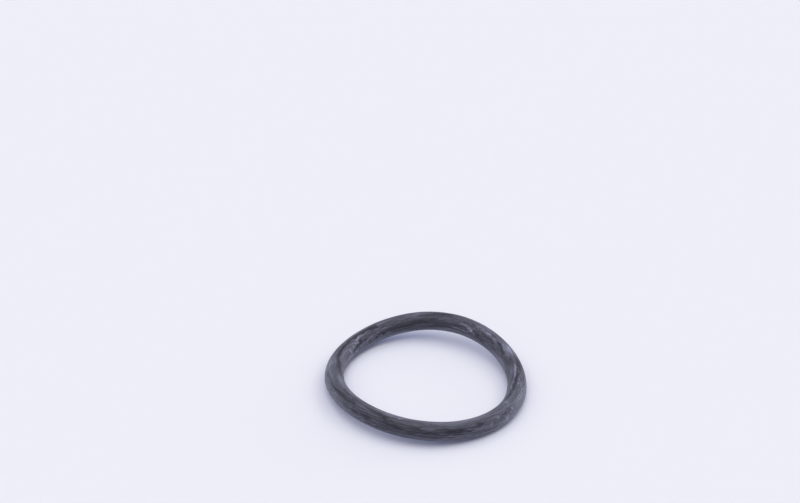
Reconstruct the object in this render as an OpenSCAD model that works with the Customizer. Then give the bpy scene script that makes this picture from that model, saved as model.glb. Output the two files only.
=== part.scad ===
// Moulded rubber o-ring, lying free on a bench.
// The ring is one cured piece: a round section swept along a centreline that has
// taken a set in storage, so it is slightly oval in plan and lifts off the bench
// on two opposite sides. Fine flash ridges mark where the two mould halves met,
// one round the bore and one round the outside.
// Millimetres. +Z is up from the bench, the origin is on the bench under the
// centre of the ring.

/* [Ring] */
// Diameter of the bore of the ring when it lies flat and round.
inside_diameter = 30; // [12:0.5:120]
// Diameter of the round rubber section.
section_diameter = 3.5; // [1.5:0.05:6]

/* [Mould parting line] */
// How far the flash ridges stand proud of the round section.
flash_height = 0.06; // [0.02:0.01:0.3]
// Width of a flash ridge at its foot, where it grows out of the section.
flash_foot_width = 0.22; // [0.1:0.01:0.6]
// Width of the blunt top of a flash ridge, where the mould edge pinched it off.
flash_tip_width = 0.08; // [0.02:0.01:0.09]
// How far the whole section is rolled about its own centreline, in degrees;
// positive turns the outside parting line down towards the bench.
section_roll = 10; // [-60:1:60]

/* [Set taken in storage] */
// How far the two lifted sides stand above the two sides that touch the bench.
lift = 1.69; // [0:0.01:4]
// Direction of one lifted side, in degrees from +X; the other is opposite.
lift_direction = 70.3; // [0:0.1:180]
// Height of the three-lobed unevenness that goes on top of the lift.
ripple = 0.186; // [0:0.002:0.6]
// Direction of one high lobe of that unevenness, in degrees from +X.
ripple_direction = -35.9; // [-60:0.1:60]
// How much longer than round the ring's plan is along its long axis, per side.
oval = 0.394; // [0:0.002:1.2]
// Direction of the plan's long axis, in degrees from +X.
oval_direction = 135; // [0:1:180]

/* [Mesh] */
// Number of sections set along the ring.
ring_steps = 128; // [48:4:160]
// Number of points on each half of the round section, between its two ridges.
half_section_points = 15; // [9:2:19]

/* [Hidden] */

section_radius = section_diameter / 2;
ring_radius = (inside_diameter + section_diameter) / 2;

// ---- Section: two half circles joined by a flash ridge on either side ----

// Angle from the parting plane to the foot of a ridge, seen from the section's centre.
ridge_foot_angle = asin(flash_foot_width / 2 / section_radius);
ridge_tip_reach = section_radius + flash_height;
ridge_tip_angle = asin(flash_tip_width / 2 / ridge_tip_reach);

// One point of the section, as [outward, up], at a given radius and angle.
function polar(radius, angle) = radius * [cos(angle), sin(angle)];

// The half circle of points from one ridge foot to the next.
function half_circle(from) = [
    for (i = [0 : half_section_points - 1])
        polar(
            section_radius,
            from + ridge_foot_angle
                + i * (180 - 2 * ridge_foot_angle) / (half_section_points - 1)
        )
];

// The two corners of the blunt top of the ridge at a given angle.
function ridge_tip(at) = [
    polar(ridge_tip_reach, at - ridge_tip_angle),
    polar(ridge_tip_reach, at + ridge_tip_angle)
];

// Turns a section point about the section's centre.
function rolled(point, angle) = [
    point[0] * cos(angle) - point[1] * sin(angle),
    point[0] * sin(angle) + point[1] * cos(angle)
];

section = [
    for (point = concat(half_circle(0), ridge_tip(180), half_circle(180), ridge_tip(360)))
        rolled(point, -section_roll)
];

// ---- Centreline: an oval that rises twice on its way round ----

low_direction = lift_direction + 90;

// The ripple alone would leave the ring tilted and rocking, so the whole ring is
// tipped until both low sides touch the bench and sit level there.
ripple_at_low = ripple * cos(3 * (low_direction - ripple_direction));
ripple_slope_at_low = 3 * ripple * sin(3 * (low_direction - ripple_direction));

function plan_radius(a) = ring_radius + oval * cos(2 * (a - oval_direction));

function rise(a) =
    lift / 2 * cos(2 * (a - lift_direction))
    + ripple * cos(3 * (a - ripple_direction))
    - ripple_at_low * cos(a - low_direction)
    + ripple_slope_at_low * sin(a - low_direction);

function centreline(a) = [plan_radius(a) * cos(a), plan_radius(a) * sin(a), rise(a)];

// Unit direction of travel along the centreline, from two close points of it.
probe_angle = 0.01;
function unit(v) = v / norm(v);
function heading(a) = unit(centreline(a + probe_angle) - centreline(a - probe_angle));

// Direction away from the ring's axis, square to the centreline.
function outward(a) = unit(cross(heading(a), [0, 0, 1]));
function upward(a) = cross(outward(a), heading(a));

function section_at(a) = [
    for (point = section)
        centreline(a) + point[0] * outward(a) + point[1] * upward(a)
];

// ---- Skin: every section joined to the next, and the last to the first ----

around = len(section);
skin_points = [
    for (step = [0 : ring_steps - 1])
        each section_at(step * 360 / ring_steps)
];

// Number of a skin point, wrapping round both ways.
function corner(step, i) = (step % ring_steps) * around + i % around;

skin_faces = [
    for (step = [0 : ring_steps - 1], i = [0 : around - 1])
        each [
            [corner(step, i), corner(step + 1, i), corner(step + 1, i + 1)],
            [corner(step, i), corner(step + 1, i + 1), corner(step, i + 1)]
        ]
];

lowest_point = min([for (point = skin_points) point[2]]);

module o_ring() {
    color([0.16, 0.17, 0.18])
        translate([0, 0, -lowest_point])
            polyhedron(points = skin_points, faces = skin_faces, convexity = 6);
}

o_ring();
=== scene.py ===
"""Moulded rubber o-ring at rest on a pale bench, dressed for a studio picture."""

import logging
import math
from dataclasses import dataclass, field
from enum import Enum

import bpy
import numpy as np
from mathutils import Matrix, Vector


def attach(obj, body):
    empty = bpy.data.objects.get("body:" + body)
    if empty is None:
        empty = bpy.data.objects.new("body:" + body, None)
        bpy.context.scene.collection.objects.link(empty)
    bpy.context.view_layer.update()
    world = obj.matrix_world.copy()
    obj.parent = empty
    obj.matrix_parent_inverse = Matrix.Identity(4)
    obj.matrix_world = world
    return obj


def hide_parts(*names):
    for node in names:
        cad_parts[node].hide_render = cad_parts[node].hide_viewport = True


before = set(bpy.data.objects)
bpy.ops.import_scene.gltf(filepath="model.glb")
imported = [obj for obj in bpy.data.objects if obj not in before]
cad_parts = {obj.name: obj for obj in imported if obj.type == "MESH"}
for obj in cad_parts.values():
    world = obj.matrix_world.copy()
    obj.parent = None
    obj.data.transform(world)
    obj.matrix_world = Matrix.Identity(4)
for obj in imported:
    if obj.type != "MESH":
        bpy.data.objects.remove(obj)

MM = 0.001
FULL_TURN = 2.0 * math.pi
SMALL_TURN = 1e-4

# How far round to the right of the ring's front the photograph was taken.
PICTURE_TURN = math.radians(3.93)

log = logging.getLogger("o_ring_scene")


# ---- Form of the ring ----


@dataclass(frozen=True)
class RingForm:
    """Size and set of the moulded ring, in metres and radians.

    The values are those of the solid in the frame: a round section swept along an
    oval centreline that lifts off the bench on two opposite sides.
    """

    inside_diameter: float = 30.0 * MM
    section_diameter: float = 3.5 * MM
    lift: float = 1.69 * MM
    lift_direction: float = math.radians(70.3)
    ripple: float = 0.186 * MM
    ripple_direction: float = math.radians(-35.9)
    oval: float = 0.394 * MM
    oval_direction: float = math.radians(135.0)

    @property
    def section_radius(self) -> float:
        """Radius of the round section."""
        return self.section_diameter / 2

    @property
    def ring_radius(self) -> float:
        """Mean radius of the centreline."""
        return (self.inside_diameter + self.section_diameter) / 2

    @property
    def low_direction(self) -> float:
        """Direction of one of the two sides that touch the bench."""
        return self.lift_direction + math.pi / 2

    def plan_radius(self, around: np.ndarray) -> np.ndarray:
        """Distance of the centreline from the ring's axis.

        Args:
            around: Angles about the ring's axis.

        Returns:
            The radius at each angle.
        """
        return self.ring_radius + self.oval * np.cos(2 * (around - self.oval_direction))

    def rise(self, around: np.ndarray) -> np.ndarray:
        """Height of the centreline above its two low points, before the section.

        Args:
            around: Angles about the ring's axis.

        Returns:
            The height at each angle, with the tilt taken out as on a level bench.
        """
        phase = 3 * (self.low_direction - self.ripple_direction)
        return (
            self.lift / 2 * (1 + np.cos(2 * (around - self.lift_direction)))
            + self.ripple * np.cos(3 * (around - self.ripple_direction))
            - self.ripple * math.cos(phase) * np.cos(around - self.low_direction)
            + 3 * self.ripple * math.sin(phase) * np.sin(around - self.low_direction)
        )

    def centreline(self, around: np.ndarray) -> np.ndarray:
        """Points of the section's centre.

        Args:
            around: Angles about the ring's axis.

        Returns:
            One row of x, y and z for each angle.
        """
        radius = self.plan_radius(around)
        height = self.rise(around) + self.section_radius
        x, y = radius * np.cos(around), radius * np.sin(around)
        return np.stack([x, y, height], axis=-1)

    def axes(self, around: np.ndarray) -> tuple[np.ndarray, np.ndarray]:
        """Directions that the section is drawn in.

        Args:
            around: Angles about the ring's axis.

        Returns:
            The outward and the upward unit vector at each angle, square to the
            centreline.
        """
        ahead = self.centreline(around + SMALL_TURN)
        behind = self.centreline(around - SMALL_TURN)
        heading = unit(ahead - behind)
        outward = unit(np.cross(heading, [0.0, 0.0, 1.0]))
        return outward, np.cross(outward, heading)


def unit(vectors: np.ndarray) -> np.ndarray:
    """Scale each row to length one."""
    return vectors / np.linalg.norm(vectors, axis=-1, keepdims=True)


def angle_between(a: np.ndarray | float, b: float) -> np.ndarray | float:
    """Signed shortest turn from b to a, in radians."""
    return (a - b + math.pi) % FULL_TURN - math.pi


# ---- Patterns and marks, worked out at the mesh points ----


@dataclass(frozen=True)
class Skin:
    """Points of the ring's skin by their angles in radians, and the form under them.

    The first angle goes around the ring's axis from +X; the second goes across the
    section from its outside over the top.
    """

    form: RingForm
    around: np.ndarray
    across: np.ndarray

    def seen(self) -> "Skin":
        """The same points, with the first angle counted from the picture's right."""
        return Skin(self.form, self.around - PICTURE_TURN, self.across)

    def unrolled(
        self,
        origin: tuple[float, float],
        place: tuple[float, float] | None = None,
    ) -> tuple[np.ndarray | float, np.ndarray | float]:
        """Lengths on the skin, along the ring and across the section.

        Args:
            origin: Place that the lengths start from, in degrees.
            place: Place that they end at, in degrees, or None for all the points.

        Returns:
            The lengths along and across, in metres.
        """
        turn, tilt = math.radians(origin[0]), math.radians(origin[1])
        if place is None:
            around, across = self.around, self.across
        else:
            around, across = math.radians(place[0]), math.radians(place[1])
        reach = self.form.ring_radius + self.form.section_radius * math.cos(tilt)
        return (
            angle_between(around, turn) * reach,
            angle_between(across, tilt) * self.form.section_radius,
        )


@dataclass(frozen=True)
class Pattern:
    """Random pattern that closes on itself both along and across the ring.

    It is a sum of waves with whole numbers of turns. The two ranges hold the fewest
    and the most waves in a turn of the ring and in a turn of the section. The ends
    say how much stronger it is at the ring's two ends on X than at the mean.
    """

    seed: int
    share: float
    waves: int
    along: tuple[int, int]
    across: tuple[int, int]
    ends: float = 0.0

    def __call__(self, skin: Skin) -> np.ndarray:
        """Value of the pattern at each point.

        Args:
            skin: The points.

        Returns:
            Values about zero, with the share as their standard deviation.
        """
        draw = np.random.default_rng(self.seed)
        total = np.zeros(skin.around.shape)
        for _ in range(self.waves):
            m = int(draw.integers(self.along[0], self.along[1] + 1))
            n = int(draw.integers(self.across[0], self.across[1] + 1))
            side = int(draw.choice([-1, 1]))
            phase = draw.uniform(0.0, FULL_TURN)
            total += np.cos(m * skin.around + side * n * skin.across + phase)
        # A wave's mean square is a half, so this brings the sum's spread to one.
        total *= math.sqrt(2.0 / self.waves)
        return self.share * total * (1.0 + self.ends * np.cos(2 * skin.around))


@dataclass(frozen=True)
class Mark:
    """An oval patch with soft edges, at a given place.

    The angles of its middle are in degrees and its length and width in millimetres.
    The slant turns its long side out of the ring's direction, in degrees.
    """

    around: float
    across: float
    length: float
    width: float
    strength: float
    slant: float = 0.0

    def __call__(self, skin: Skin) -> np.ndarray:
        """Strength of the patch at each point.

        Args:
            skin: The points.

        Returns:
            The strength, which fades away from the patch's middle.
        """
        x, y = skin.unrolled((self.around, self.across))
        turn = math.radians(self.slant)
        along = (x * math.cos(turn) + y * math.sin(turn)) / (self.length / 2 * MM)
        aside = (y * math.cos(turn) - x * math.sin(turn)) / (self.width / 2 * MM)
        return self.strength * np.exp(-(along**2 + aside**2))


@dataclass(frozen=True)
class Trail:
    """A soft line through a few given places, each a pair of degrees."""

    places: tuple[tuple[float, float], ...]
    width: float
    strength: float

    def __call__(self, skin: Skin) -> np.ndarray:
        """Strength of the line at each point.

        Args:
            skin: The points.

        Returns:
            The strength, which fades away from the line's nearest stretch.
        """
        nearest = np.full(skin.around.shape, np.inf)
        for start, end in zip(self.places, self.places[1:]):
            x, y = skin.unrolled(start)
            step_x, step_y = skin.unrolled(start, end)
            share = (x * step_x + y * step_y) / (step_x**2 + step_y**2)
            share = np.clip(share, 0.0, 1.0)
            away = np.hypot(x - share * step_x, y - share * step_y)
            nearest = np.minimum(nearest, away)
        return self.strength * np.exp(-((nearest / (self.width / 2 * MM)) ** 2))


@dataclass(frozen=True)
class Line:
    """A fine broken line that runs all round the ring, as bloom does along a seam.

    Its place across the section is in degrees and its width in millimetres. It is
    filled by a share in the mean, and the breaks make it come and go.
    """

    across: float
    width: float = 0.13
    strength: float = 0.22
    filled: float = 0.6
    breaks: Pattern = Pattern(32, 0.5, 60, (4, 90), (0, 0))

    def __call__(self, skin: Skin) -> np.ndarray:
        """Strength of the line at each point.

        Args:
            skin: The points.

        Returns:
            The strength, which is zero in the line's gaps.
        """
        away = angle_between(skin.across, math.radians(self.across))
        away = away * skin.form.section_radius / (self.width / 2 * MM)
        filling = np.clip(self.filled + self.breaks(skin), 0.0, 1.0)
        return self.strength * np.exp(-(away**2)) * filling


@dataclass(frozen=True)
class BloomAndPaintedShade:
    """Pale wax bloom that has come out of the rubber, with its wiped places, and
    painted light and shade.

    The washes, streaks and blotches are shares of the level; the lines, trails and
    marks are added to it. Some washes are painted light and shade: they darken the
    front flank and the rear's inner wall where these face the camera, lighten the
    rear's lower inner edge as light thrown up from the bench would, and lighten the
    outward sides of the two ends. The streaks sway up and down the section round the
    ring, and the trails and marks wander a little, so that their edges are ragged.
    """

    level: float = 0.385
    bloom_and_painted_light_washes: tuple[Mark, ...] = (
        # Front.
        # Painted shade: darkens the front flank where it faces the camera.
        Mark(262, 28, 38.0, 4.0, -0.40),
        Mark(254, 90, 9.0, 1.2, 0.85),
        Mark(303, 94, 10.0, 1.2, 0.60),
        Mark(300, 22, 12.0, 2.0, 0.20),
        Mark(235, 45, 6.0, 1.5, 0.22),
        Mark(248, -5, 8.0, 1.0, -0.15),
        Mark(275, 38, 3.4, 1.4, 0.40),
        Mark(274, -22, 3.0, 0.8, -0.35),
        # Rear.
        # Painted shade: darkens the rear's inner wall where it faces the camera.
        Mark(98, 166, 20.0, 1.7, -0.75),
        # Painted light: lightens the rear's lower inner edge as light thrown up from
        # the bench would.
        Mark(85, 200, 34.0, 1.5, 0.24),
        Mark(130, 102, 14.0, 1.5, 0.32),
        Mark(60, 160, 3.0, 1.0, 0.25),
        Mark(40, 97, 6.0, 1.0, 0.28),
        Mark(65, 122, 8.0, 2.0, -0.22),
        Mark(68, 144, 4.0, 0.9, 0.22),
        Mark(55, 205, 6.0, 0.8, -0.22),
        Mark(112, 130, 16.0, 1.6, -0.20),
        Mark(59, 128, 5.0, 1.0, -0.25),
        Mark(85, 157, 4.0, 0.9, -0.25),
        Mark(90, 188, 5.0, 0.8, 0.28),
        Mark(5, 95, 3.4, 1.2, 0.26),
        # Right end.
        Mark(335, 15, 15.0, 2.6, 0.45),
        Mark(350, 22, 10.0, 1.6, 0.22),
        # Painted light: lightens the outward side of the right end, where more light
        # falls.
        Mark(350, 48, 20.0, 6.0, 0.18),
        Mark(323, 62, 7.0, 2.0, -0.25),
        Mark(335, 108, 4.0, 0.9, -0.30),
        Mark(30, 160, 5.0, 0.9, -0.18),
        Mark(36, 113, 3.0, 0.7, 0.28),
        Mark(20, 135, 6.0, 1.6, 0.20),
        Mark(10, 86, 4.0, 1.5, -0.40),
        # Left end.
        # Painted light: lightens the outward side of the left end, where more light
        # falls.
        Mark(183, 50, 26.0, 8.0, 0.25),
        Mark(190, 25, 12.0, 2.0, 0.28),
        Mark(154, 162, 12.0, 2.5, 0.28),
        Mark(150, 125, 6.0, 1.6, -0.25),
        Mark(178, 85, 5.0, 1.5, -0.20),
        Mark(195, 97, 5.0, 1.0, 0.22),
        Mark(147, 82, 4.0, 0.8, 0.26),
        Mark(168, 70, 4.0, 0.8, 0.26),
        Mark(152, 174, 4.0, 0.8, 0.26),
    )
    streaks: tuple[Pattern, ...] = (
        Pattern(11, 0.10, 110, (0, 7), (9, 26), -0.4),
        Pattern(15, 0.055, 110, (0, 12), (26, 56), -0.4),
    )
    patches: Pattern = Pattern(18, 0.45, 40, (2, 14), (1, 5))
    fewest_streaks: float = 0.2
    most_streaks: float = 2.0
    blotches: tuple[Pattern, ...] = (
        Pattern(12, 0.07, 90, (12, 60), (4, 20)),
        Pattern(17, 0.09, 70, (4, 16), (3, 9), -0.1),
        Pattern(13, 0.15, 40, (1, 9), (1, 5), -0.1),
        Pattern(14, 0.08, 160, (50, 220), (12, 46)),
    )
    sway: float = 0.8
    wander_along: Pattern = Pattern(21, 0.008, 40, (6, 60), (2, 12))
    wander_across: Pattern = Pattern(22, 0.05, 40, (6, 60), (2, 12))
    lines: tuple[Line, ...] = (Line(-10.0), Line(170.0))
    trails: tuple[Trail, ...] = (
        # Wiped line that winds over the top of the left end.
        Trail(
            ((124, 98), (132, 89), (144, 87), (152, 88), (158, 91), (163, 95)),
            0.62,
            -0.52,
        ),
        Trail(((163, 95), (170, 104), (176, 121), (181, 133), (187, 140)), 0.66, -0.36),
        # Lines that run on from it along the front left.
        Trail(
            ((181, 42), (192, 55), (202, 55), (209, 54), (216, 56), (224, 62)),
            0.34,
            -0.28,
        ),
        Trail(
            ((208, 91), (220, 88), (228, 86), (234, 81), (240, 77), (246, 66)),
            0.50,
            -0.24,
        ),
        # Wiped and pale lines of the right end.
        Trail(((42, 93), (33, 108), (29, 117), (24, 127)), 0.42, -0.33),
        Trail(
            ((6, 84), (358, 94), (354, 103), (348, 106), (342, 113), (334, 118)),
            0.56,
            -0.36,
        ),
        Trail(((10, 91), (0, 107), (355, 113), (347, 121)), 0.32, 0.33),
        # Dark graze at the rear left and the grains pushed up beside it.
        Trail(((151, 163), (147, 154), (144, 146), (139, 128)), 0.55, -0.34),
        Trail(((152, 141), (147, 127), (144, 119), (138, 110), (133, 105)), 0.60, 0.10),
        # Edge of the pale patch at the rear.
        Trail(((60, 166), (57, 153), (60, 141), (66, 133)), 0.26, 0.26),
    )
    marks: tuple[Mark, ...] = (
        # Left end.
        Mark(176, 117, 2.0, 1.0, -0.22),
        Mark(165, 67, 3.0, 1.0, 0.08),
        Mark(173, 69, 2.5, 1.2, 0.19),
        Mark(194, 111, 3.0, 1.0, 0.14),
        Mark(168, 146, 1.5, 1.0, 0.14),
        Mark(199, 25, 0.6, 0.4, -0.22),
        # Front left flank.
        Mark(218, 21, 1.4, 0.5, -0.28),
        Mark(226, 23, 1.6, 0.5, -0.28),
        Mark(234, 28, 1.8, 0.5, -0.28),
        Mark(236, 15, 1.4, 0.4, -0.33),
        Mark(247, 51, 1.8, 0.3, -0.27),
        Mark(249, 33, 2.2, 0.4, -0.30),
        Mark(255, 29, 2.0, 0.5, -0.33),
        Mark(263, 10, 1.8, 0.35, -0.27),
        Mark(241, -2, 1.4, 0.2, 0.27),
        Mark(255, 88, 0.5, 0.5, 0.33),
        Mark(268, 2, 0.15, 0.35, 0.48),
        # Front and front right flank.
        Mark(266, 43, 2.6, 0.45, -0.34),
        Mark(274, 24, 3.0, 0.45, -0.34),
        Mark(274, 85, 0.4, 0.3, -0.33),
        Mark(278, 45, 2.2, 0.4, -0.33),
        Mark(288, 31, 3.6, 0.5, -0.39),
        Mark(289, 11, 1.5, 0.35, -0.24),
        Mark(296, 26, 1.6, 0.35, -0.27),
        Mark(303, 46, 2.0, 0.5, -0.39, 12.0),
        Mark(304, 11, 0.5, 0.25, -0.27),
        Mark(310, 21, 0.35, 0.9, 0.26),
        Mark(312, 23, 0.3, 0.25, -0.60),
        Mark(316, 43, 0.5, 0.5, 0.24),
        Mark(322, 17, 0.5, 0.6, 0.28),
        Mark(328, 41, 0.5, 0.5, 0.48),
        Mark(330, 91, 0.8, 0.4, 0.38),
        # Right end.
        Mark(352, 85, 0.5, 0.6, 0.33),
        Mark(355, 66, 0.5, 0.4, -0.33),
        Mark(358, 92, 0.5, 0.5, -0.33),
        Mark(4, 84, 0.8, 0.5, 0.24),
        Mark(4, 113, 3.0, 0.8, 0.12),
        Mark(13, 57, 2.6, 0.8, -0.33),
        Mark(16, 118, 2.4, 1.2, -0.22),
        Mark(26, 77, 2.8, 1.4, 0.46),
        Mark(10, 72, 4.0, 1.0, -0.14),
        # Rear, right to left.
        Mark(37, 103, 1.2, 0.5, 0.29),
        Mark(46, 110, 2.4, 0.5, 0.24),
        Mark(54, 111, 0.6, 0.5, 0.29),
        Mark(57, 156, 1.8, 0.7, 0.44),
        Mark(64, 157, 2.4, 0.7, 0.08),
        Mark(77, 96, 1.6, 0.5, -0.37),
        Mark(84, 90, 1.2, 0.5, -0.33),
        Mark(97, 112, 2.0, 0.5, 0.19),
        Mark(125, 113, 4.0, 0.9, 0.12),
        Mark(125, 157, 5.0, 0.9, 0.13),
        Mark(145, 90, 4.0, 1.0, 0.10),
        Mark(121, 171, 0.5, 0.3, -0.33),
        Mark(127, 173, 0.7, 0.3, -0.33),
        Mark(133, 172, 0.5, 0.3, -0.33),
        Mark(136, 142, 0.5, 0.3, -0.33),
        Mark(140, 112, 1.8, 0.5, 0.22, 20.0),
        Mark(153, 144, 0.5, 0.9, 0.38),
    )

    def __call__(self, skin: Skin) -> np.ndarray:
        """Share of bloom, with painted light and shade in it, at each point.

        Args:
            skin: The points.

        Returns:
            Shares from 0, bare rubber, to 1, thick bloom.
        """
        shifted = Skin(
            skin.form,
            skin.around + self.wander_along(skin),
            skin.across + self.wander_across(skin),
        )
        swayed = Skin(
            skin.form, skin.around, skin.across + self.sway * np.sin(skin.around)
        )
        # The washes carry painted light and shade along with the bloom.
        film = sum(part(skin) for part in self.bloom_and_painted_light_washes + self.blotches)
        thickness = np.clip(
            1.0 + self.patches(skin), self.fewest_streaks, self.most_streaks
        )
        film += sum(part(swayed) for part in self.streaks) * thickness
        total = self.level * (1.0 + film) + sum(line(skin) for line in self.lines)
        for placed in self.trails + self.marks:
            total += placed(shifted)
        return np.clip(total, 0.0, 1.0)


@dataclass(frozen=True)
class Powder:
    """Places where the bloom lies in grains instead of an even film."""

    level: float = 0.045
    marks: tuple[Mark, ...] = (
        Mark(144, 134, 6.0, 2.2, 0.90, 19.0),
        Mark(59, 148, 3.5, 1.8, 0.44),
        Mark(46, 106, 8.0, 1.8, 0.42),
        Mark(352, 78, 9.0, 3.0, 0.38),
        Mark(325, 30, 6.0, 3.0, 0.30),
        Mark(127, 170, 6.0, 1.5, 0.34),
        Mark(215, 20, 14.0, 2.0, 0.45),
        Mark(95, 112, 12.0, 2.0, 0.16),
    )

    def __call__(self, skin: Skin) -> np.ndarray:
        """Share of grains at each point.

        Args:
            skin: The points.

        Returns:
            Shares from 0 to 1.
        """
        total = np.full(skin.around.shape, self.level)
        for mark in self.marks:
            total += mark(skin)
        return np.clip(total, 0.0, 1.0)


@dataclass(frozen=True)
class Seam:
    """Thin ridge of flash where the two halves of the mould met.

    Its place across the section is in degrees. Its height varies about a share of
    the full height, and is never less than the least share.
    """

    across: float
    height: float = 0.05 * MM
    foot: float = 0.22 * MM
    tip: float = 0.08 * MM
    mean_share: float = 0.8
    least_share: float = 0.3
    unevenness: Pattern = Pattern(31, 0.30, 50, (3, 70), (0, 0))

    def stations(self, form: RingForm, steps: int) -> np.ndarray:
        """Angles across the section that draw the ridge, in radians."""
        reach = self.foot / 2 / form.section_radius
        return math.radians(self.across) + np.linspace(-reach, reach, steps)

    def __call__(self, skin: Skin) -> np.ndarray:
        """Height of the ridge at each point.

        Args:
            skin: The points.

        Returns:
            Heights between 0 and the full height, in metres.
        """
        away = np.abs(angle_between(skin.across, math.radians(self.across)))
        inside = self.foot / 2 - away * skin.form.section_radius
        profile = np.clip(inside / ((self.foot - self.tip) / 2), 0.0, 1.0)
        share = np.clip(self.mean_share + self.unevenness(skin), self.least_share, 1.0)
        return self.height * profile * share


@dataclass(frozen=True)
class Relief:
    """Unevenness of the skin that the solid leaves out.

    The sink and the strengths of the patterns and marks are in millimetres.
    """

    sink: float = 0.018
    patterns: tuple[Pattern, ...] = (
        Pattern(41, 0.004, 40, (2, 16), (1, 5)),
        Pattern(42, 0.0016, 90, (3, 30), (20, 60)),
        Pattern(43, 0.0016, 90, (30, 160), (8, 30)),
    )
    marks: tuple[Mark, ...] = (
        # Pits and dents.
        Mark(312, 23, 0.40, 0.34, -0.060),
        Mark(274, 85, 0.50, 0.40, -0.040),
        Mark(304, 11, 0.50, 0.34, -0.030),
        Mark(236, 15, 1.20, 0.40, -0.020),
        Mark(150, 153, 1.20, 0.60, -0.025),
        Mark(145, 150, 0.90, 0.60, -0.025),
        Mark(128, 173, 0.60, 0.36, -0.025),
        Mark(77, 96, 1.20, 0.50, -0.020),
        Mark(20, 250, 0.60, 0.50, -0.040),
        Mark(205, 300, 0.50, 0.60, -0.040),
        Mark(100, 20, 0.50, 0.45, -0.040),
        Mark(48, 40, 1.40, 0.40, -0.030, 30.0),
        # Specks that stand proud.
        Mark(355, 8, 0.34, 0.34, 0.060),
        Mark(322, 17, 0.40, 0.40, 0.012),
        Mark(328, 41, 0.40, 0.40, 0.012),
        Mark(268, 2, 0.30, 0.36, 0.012),
    )

    def __call__(self, skin: Skin) -> np.ndarray:
        """Height of the skin over the solid's section at each point, in metres.

        Args:
            skin: The points.

        Returns:
            Heights, a little below zero nearly everywhere.
        """
        total = np.full(skin.around.shape, -self.sink)
        for part in self.patterns + self.marks:
            total += part(skin)
        return total * MM


# ---- Shader sockets as numbers ----


class Wire:
    """One value, colour or vector in a node tree, with arithmetic on values."""

    def __init__(
        self, tree: bpy.types.NodeTree, node: bpy.types.Node, output: str | int = 0
    ) -> None:
        """Keep the tree, the node and the output that carries the value.

        Args:
            tree: The node tree.
            node: The node.
            output: Name or number of the output.
        """
        self.tree = tree
        self.node = node
        self.output = output

    @property
    def socket(self) -> bpy.types.NodeSocket:
        """The output's socket."""
        return self.node.outputs[self.output]

    def _math(self, operation: str, *operands: "Wire | float") -> "Wire":
        """Add a Math node.

        Args:
            operation: The node's operation.
            operands: Wires or plain numbers, in the node's order.

        Returns:
            The node's result.
        """
        node = self.tree.nodes.new("ShaderNodeMath")
        node.operation = operation
        for slot, operand in zip(node.inputs, operands):
            feed(self.tree, slot, operand)
        return Wire(self.tree, node)

    def __add__(self, other: "Wire | float") -> "Wire":
        """Sum."""
        return self._math("ADD", self, other)

    def __radd__(self, other: float) -> "Wire":
        """Sum with a number on the left."""
        return self._math("ADD", other, self)

    def __sub__(self, other: "Wire | float") -> "Wire":
        """Difference."""
        return self._math("SUBTRACT", self, other)

    def __rsub__(self, other: float) -> "Wire":
        """Difference from a number on the left."""
        return self._math("SUBTRACT", other, self)

    def __mul__(self, other: "Wire | float") -> "Wire":
        """Product."""
        return self._math("MULTIPLY", self, other)

    def __rmul__(self, other: float) -> "Wire":
        """Product with a number on the left."""
        return self._math("MULTIPLY", other, self)

    def clamped(self) -> "Wire":
        """The value held between 0 and 1."""
        return self._math("MINIMUM", self._math("MAXIMUM", self, 0.0), 1.0)


def feed(tree: bpy.types.NodeTree, slot: bpy.types.NodeSocket, value: object) -> None:
    """Give an input a wire or a plain value.

    Args:
        tree: The node tree.
        slot: The input.
        value: A wire, or what the input holds by itself.
    """
    if isinstance(value, Wire):
        tree.links.new(value.socket, slot)
    else:
        slot.default_value = value


class Shader:
    """A material's node tree, with one method that adds any node."""

    def __init__(self, name: str) -> None:
        """Make an empty material.

        Args:
            name: The material's name.
        """
        self.material = bpy.data.materials.new(name)
        self.material.use_nodes = True
        self.tree = self.material.node_tree
        self.tree.nodes.clear()

    def node(
        self,
        kind: str,
        settings: dict[str, object] | None = None,
        inputs: dict[str | int, object] | None = None,
        output: str | int = 0,
    ) -> Wire:
        """Add a node.

        Args:
            kind: The node's type without its ShaderNode prefix.
            settings: Properties to set before the inputs are filled.
            inputs: Names or numbers of inputs, and the wires or values they take.
            output: Name or number of the output to return.

        Returns:
            The chosen output.
        """
        node = self.tree.nodes.new("ShaderNode" + kind)
        for key, value in (settings or {}).items():
            setattr(node, key, value)
        for key, value in (inputs or {}).items():
            feed(self.tree, node.inputs[key], value)
        return Wire(self.tree, node, output)

    def attribute(self, name: "Attribute", output: str = "Fac") -> Wire:
        """Read a value that the mesh carries at its points."""
        return self.node("Attribute", {"attribute_name": name.value}, output=output)

    def mix_colour(self, factor: Wire | float, a: object, b: object) -> Wire:
        """Blend two colours.

        Args:
            factor: Share of the second colour.
            a: First colour, a wire or four numbers.
            b: Second colour, a wire or four numbers.

        Returns:
            The blended colour.
        """
        # The Mix node has its colours at inputs 6 and 7 and their blend at output 2.
        inputs = {0: factor, 6: a, 7: b}
        return self.node("Mix", {"data_type": "RGBA"}, inputs, output=2)

    def finish(self, surface: Wire) -> bpy.types.Material:
        """Join the surface to the output and return the material."""
        self.node("OutputMaterial", inputs={"Surface": surface})
        return self.material


# ---- The ring's finish ----

# A noise node's mean value.
NOISE_MEAN = 0.5


class Attribute(Enum):
    """Values that the ring's mesh carries for its finish."""

    PLACE = "skin_place"
    DEPTH = "skin_depth"
    # Bloom share, with painted light and shade in it.
    BLOOM_AND_PAINTED_SHADE = "bloom"
    POWDER = "powder"


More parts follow.
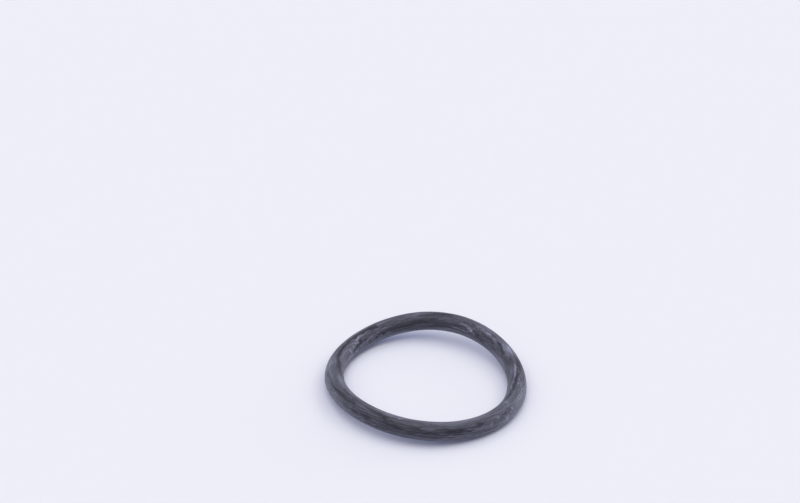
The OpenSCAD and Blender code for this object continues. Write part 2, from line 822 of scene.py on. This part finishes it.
@dataclass(frozen=True)
class SkinNoise:
    """Fine noise that closes on itself, sized by its features in metres."""

    length: float
    width: float
    detail: float = 3.0
    roughness: float = 0.5

    def make(self, shader: Shader, form: RingForm) -> Wire:
        """Add the noise to a shader.

        Args:
            shader: The shader.
            form: The ring whose attributes the noise reads.

        Returns:
            The noise, about 0.5 in the mean.
        """
        along = form.ring_radius / self.length
        across = form.section_radius / self.width
        place = shader.node(
            "VectorMath",
            {"operation": "MULTIPLY"},
            {
                0: shader.attribute(Attribute.PLACE, "Vector"),
                1: (along, along, across),
            },
        )
        return shader.node(
            "TexNoise",
            {"noise_dimensions": "4D"},
            {
                "Vector": place,
                "W": shader.attribute(Attribute.DEPTH) * across,
                "Scale": 1.0,
                "Detail": self.detail,
                "Roughness": self.roughness,
            },
        )


@dataclass(frozen=True)
class BloomedRubberWithPaintedShade:
    """Black rubber with a dull skin and a pale bloom, whose share also paints light and
    shade.

    The streaks and the grains are finer than the mesh. Their shares say how much
    they change the bloom, and their reliefs how much they raise the skin.
    """

    name: str = "bloomed_black_rubber_with_painted_shade"
    bare: tuple[float, float, float, float] = (0.0102, 0.0105, 0.0205, 1.0)
    pale: tuple[float, float, float, float] = (0.318, 0.329, 0.478, 1.0)
    bare_roughness: float = 0.45
    pale_roughness: float = 0.80
    specular: float = 0.22
    coat_roughness: float = 0.7
    sheen: float = 0.18
    sheen_roughness: float = 0.65
    sheen_tint: tuple[float, float, float, float] = (0.78, 0.80, 1.0, 1.0)
    streaks: SkinNoise = SkinNoise(1.6 * MM, 0.09 * MM)
    grains: SkinNoise = SkinNoise(0.30 * MM, 0.26 * MM, 4.0, 0.6)
    streak_share: float = 0.08
    grain_share: float = 2.4
    relief: float = 0.012 * MM
    streak_relief: float = 0.5
    grain_relief: float = 0.3
    powder_relief: float = 0.7

    def make(self, form: RingForm) -> bpy.types.Material:
        """Build the material.

        Args:
            form: The ring that the finish is for.

        Returns:
            The material, which reads the ring's own attributes.
        """
        shader = Shader(self.name)
        streaks = self.streaks.make(shader, form)
        grains = self.grains.make(shader, form)
        powder = shader.attribute(Attribute.POWDER)
        # This share is bloom with painted light and shade in it; it lightens or darkens
        # the base colour.
        bloom = shader.attribute(Attribute.BLOOM_AND_PAINTED_SHADE)
        share = (
            bloom
            + (streaks - NOISE_MEAN) * self.streak_share
            + (grains - NOISE_MEAN) * powder * self.grain_share
        ).clamped()
        rougher = self.pale_roughness - self.bare_roughness
        grain_height = powder * self.powder_relief + self.grain_relief
        bump = shader.node(
            "Bump",
            inputs={
                "Strength": 1.0,
                "Distance": self.relief,
                "Height": streaks * self.streak_relief + grains * grain_height,
            },
        )
        surface = shader.node(
            "BsdfPrincipled",
            inputs={
                "Base Color": shader.mix_colour(share * share, self.bare, self.pale),
                "Roughness": share * rougher + self.bare_roughness,
                "Specular IOR Level": self.specular,
                "Sheen Weight": self.sheen,
                "Sheen Roughness": self.sheen_roughness,
                "Sheen Tint": self.sheen_tint,
                "Coat Weight": share,
                "Coat Roughness": self.coat_roughness,
                "Normal": bump,
            },
        )
        return shader.finish(surface)


# ---- The ring as a piece ----


@dataclass
class RubberRing:
    """The moulded ring: its skin, seams and finish.

    Mesh points nearer to a seam than a share of the seam's width, the clearance,
    give way to the seam's own.
    """

    form: RingForm = field(default_factory=RingForm)
    steps_around: int = 700
    steps_across: int = 126
    seam_steps: int = 9
    seam_clearance: float = 0.7
    name: str = "o_ring_skin"
    seams: tuple[Seam, ...] = (Seam(-10.0), Seam(170.0))
    relief: Relief = field(default_factory=Relief)
    # Its share is bloom with painted light and shade in it.
    bloom: BloomAndPaintedShade = field(default_factory=BloomAndPaintedShade)
    powder: Powder = field(default_factory=Powder)
    finish: BloomedRubberWithPaintedShade = field(default_factory=BloomedRubberWithPaintedShade)

    def stations(self) -> np.ndarray:
        """Place the mesh points across the section, closer at the seams.

        Returns:
            Their angles in radians, in order.
        """
        angles = np.linspace(0.0, FULL_TURN, self.steps_across, endpoint=False)
        for seam in self.seams:
            close = seam.stations(self.form, self.seam_steps)
            clearance = self.seam_clearance * (close[-1] - close[0])
            away = np.abs(angle_between(angles, math.radians(seam.across)))
            angles = np.concatenate([angles[away > clearance], close % FULL_TURN])
        return np.sort(angles)

    def skin(self) -> Skin:
        """The mesh points, one row for each step around the ring."""
        around = np.linspace(0.0, FULL_TURN, self.steps_around, endpoint=False)
        return Skin(self.form, *np.meshgrid(around, self.stations(), indexing="ij"))

    def build(self) -> bpy.types.Object:
        """Make the skin mesh.

        Returns:
            The ring's object, with its attributes written.
        """
        skin = self.skin()
        outward, upward = self.form.axes(skin.around)
        cosine, sine = np.cos(skin.across)[..., None], np.sin(skin.across)[..., None]
        height = self.relief(skin.seen()) + sum(seam(skin) for seam in self.seams)
        radius = (self.form.section_radius + height)[..., None]
        points = self.form.centreline(skin.around) + radius * (
            cosine * outward + sine * upward
        )
        here = np.arange(height.size).reshape(height.shape)
        onward = np.roll(here, -1, axis=0)
        corners = (here, onward, np.roll(onward, -1, axis=1), np.roll(here, -1, axis=1))
        faces = np.stack(corners, axis=-1).reshape(-1, 4)
        mesh = bpy.data.meshes.new(self.name)
        mesh.from_pydata(points.reshape(-1, 3).tolist(), [], faces.tolist())
        mesh.polygons.foreach_set("use_smooth", [True] * len(mesh.polygons))
        piece = bpy.data.objects.new(self.name, mesh)
        bpy.context.scene.collection.objects.link(piece)
        self.write_values(mesh, skin)
        piece.data.materials.append(self.finish.make(self.form))
        return piece

    def write_values(self, mesh: bpy.types.Mesh, skin: Skin) -> None:
        """Store what the finish reads at each point.

        Args:
            mesh: The ring's mesh.
            skin: The mesh points.
        """
        place = np.stack(
            [np.cos(skin.around), np.sin(skin.around), np.cos(skin.across)], axis=-1
        )
        layer = mesh.attributes.new(Attribute.PLACE.value, "FLOAT_VECTOR", "POINT")
        layer.data.foreach_set("vector", place.astype(np.float32).ravel())
        for name, values in (
            (Attribute.DEPTH, np.sin(skin.across)),
            # The bloom share carries painted light and shade as well.
            (Attribute.BLOOM_AND_PAINTED_SHADE, self.bloom(skin.seen())),
            (Attribute.POWDER, self.powder(skin.seen())),
        ):
            layer = mesh.attributes.new(name.value, "FLOAT", "POINT")
            layer.data.foreach_set("value", values.astype(np.float32).ravel())


# ---- Studio ----


@dataclass(frozen=True)
class SoftLight:
    """A broad studio light far enough off to light the bench evenly.

    Its azimuth is counted from the picture's right towards its depth. The angles and
    the spread are in degrees.
    """

    name: str
    azimuth: float
    elevation: float
    strength: float
    spread: float = 34.0

    def place(self) -> None:
        """Add the light to the scene."""
        lamp = bpy.data.lights.new(self.name, "SUN")
        lamp.energy = self.strength
        lamp.angle = math.radians(self.spread)
        holder = bpy.data.objects.new(self.name, lamp)
        turn = math.radians(self.azimuth) + PICTURE_TURN
        height = math.radians(self.elevation)
        source = Vector(
            (
                math.cos(height) * math.cos(turn),
                math.cos(height) * math.sin(turn),
                math.sin(height),
            )
        )
        holder.rotation_euler = source.to_track_quat("Z", "Y").to_euler()
        bpy.context.scene.collection.objects.link(holder)


@dataclass(frozen=True)
class Viewpoint:
    """The photograph's camera.

    The ring's axis meets the bench at the given pixel of the picture.
    """

    distance: float = 422.1 * MM
    elevation: float = math.radians(34.916)
    roll: float = math.radians(1.83)
    focal_pixels: float = 2300.0
    frame_width: int = 800
    frame_height: int = 503
    ring_x: float = 424.74
    ring_y: float = 387.70
    sensor_width: float = 36.0
    nearest: float = 0.01
    farthest: float = 20.0

    def place(self) -> None:
        """Add the camera and make it the scene's."""
        lens = bpy.data.cameras.new("camera")
        lens.sensor_fit = "HORIZONTAL"
        lens.sensor_width = self.sensor_width
        lens.lens = self.focal_pixels * self.sensor_width / self.frame_width
        lens.clip_start = self.nearest
        lens.clip_end = self.farthest
        camera = bpy.data.objects.new("camera", lens)
        right = Vector((math.cos(PICTURE_TURN), math.sin(PICTURE_TURN), 0.0))
        outward = right.cross(Vector((0.0, 0.0, 1.0)))
        back = outward * math.cos(self.elevation)
        back.z = math.sin(self.elevation)
        up = back.cross(right)
        # Aim first at the ring, rolled, then swing until it sits at its place in
        # the picture.
        aim = Matrix((right, up, back)).transposed()
        aim = aim @ Matrix.Rotation(self.roll, 3, "Z")
        x = (self.ring_x - (self.frame_width - 1) / 2) / self.focal_pixels
        y = -(self.ring_y - (self.frame_height - 1) / 2) / self.focal_pixels
        swing = Vector((x, y, -1.0)).rotation_difference(Vector((0.0, 0.0, -1.0)))
        camera.matrix_world = Matrix.Translation(back * self.distance) @ (
            aim @ swing.to_matrix()
        ).to_4x4()
        bpy.context.scene.collection.objects.link(camera)
        bpy.context.scene.camera = camera


@dataclass(frozen=True)
class PaperWithPaintedGlow:
    """Pale, matte paper with a painted cool glow.

    The glow is an emission, no lamp, that paints the shadows on the paper bluish.
    Ambient occlusion dims it where something closes over the paper, within the
    glow's reach, which paints the closest shade darker and less blue.
    """

    name: str = "bench_paper"
    colour: tuple[float, float, float, float] = (0.793, 0.783, 0.691, 1.0)
    roughness: float = 0.9
    glow: tuple[float, float, float, float] = (0.0, 0.020, 0.203, 1.0)
    no_glow: tuple[float, float, float, float] = (0.0, 0.0, 0.0, 1.0)
    glow_reach: float = 6.0 * MM
    glow_start: float = 0.06
    glow_gain: float = 1.9
    glow_samples: int = 8

    def make(self) -> bpy.types.Material:
        """Build the material.

        Returns:
            The material.
        """
        shader = Shader(self.name)
        openness = shader.node(
            "AmbientOcclusion",
            {"samples": self.glow_samples},
            {"Distance": self.glow_reach},
            "AO",
        )
        # Painted shade: the glow is cut back by the occlusion near the ring.
        glowing = ((openness - self.glow_start) * self.glow_gain).clamped()
        surface = shader.node(
            "BsdfPrincipled",
            inputs={
                "Base Color": self.colour,
                "Roughness": self.roughness,
                "Specular IOR Level": 0.0,
                "Emission Color": shader.mix_colour(glowing, self.no_glow, self.glow),
                "Emission Strength": 1.0,
            },
        )
        return shader.finish(surface)


@dataclass
class Bench:
    """The flat top that the ring lies on."""

    half_size: float = 3.0
    name: str = "bench_top"
    finish: PaperWithPaintedGlow = field(default_factory=PaperWithPaintedGlow)

    def build(self) -> None:
        """Lay the bench top."""
        corners = [(-1, -1), (1, -1), (1, 1), (-1, 1)]
        mesh = bpy.data.meshes.new(self.name)
        mesh.from_pydata(
            [(x * self.half_size, y * self.half_size, 0.0) for x, y in corners],
            [],
            [(0, 1, 2, 3)],
        )
        bench = bpy.data.objects.new(self.name, mesh)
        bpy.context.scene.collection.objects.link(bench)
        bench.data.materials.append(self.finish.make())


@dataclass(frozen=True)
class Studio:
    """Light all round, broad lamps and the picture's tone."""

    surround: tuple[float, float, float, float] = (1.0, 1.0, 1.0, 1.0)
    surround_strength: float = 0.340
    lamps: tuple[SoftLight, ...] = (
        SoftLight("overhead_right", 300.0, 72.0, 0.537),
        SoftLight("overhead_left", 240.0, 72.0, 0.140),
        SoftLight("overhead_rear", 120.0, 72.0, 0.282),
        SoftLight("side_right", 0.0, 52.0, 0.505),
        SoftLight("rear_right", 36.0, 52.0, 0.182),
        SoftLight("side_left", 180.0, 52.0, 0.263),
        SoftLight("front_left", 252.0, 52.0, 0.584),
        SoftLight("low_rear", 60.0, 30.0, 0.120),
        SoftLight("low_rear_left", 150.0, 30.0, 0.118),
        SoftLight("low_rear_right", 30.0, 8.0, 0.360),
    )

    def place(self) -> None:
        """Set the surround and add the lamps."""
        scene = bpy.context.scene
        scene.world = bpy.data.worlds.new("surround")
        scene.world.use_nodes = True
        shade = scene.world.node_tree.nodes["Background"]
        shade.inputs["Color"].default_value = self.surround
        shade.inputs["Strength"].default_value = self.surround_strength
        for lamp in self.lamps:
            lamp.place()
        scene.view_settings.view_transform = "Standard"


def main() -> None:
    """Build the ring, the bench, the lights and the camera."""
    logging.basicConfig(level=logging.INFO, format="%(message)s")
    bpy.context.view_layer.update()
    Viewpoint().place()
    Studio().place()
    Bench().build()
    ring = RubberRing()
    piece = ring.build()
    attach(piece, "root")
    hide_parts("o_ring")
    log.info("%s: %d faces", piece.name, len(piece.data.polygons))


if __name__ == "__main__":
    main()
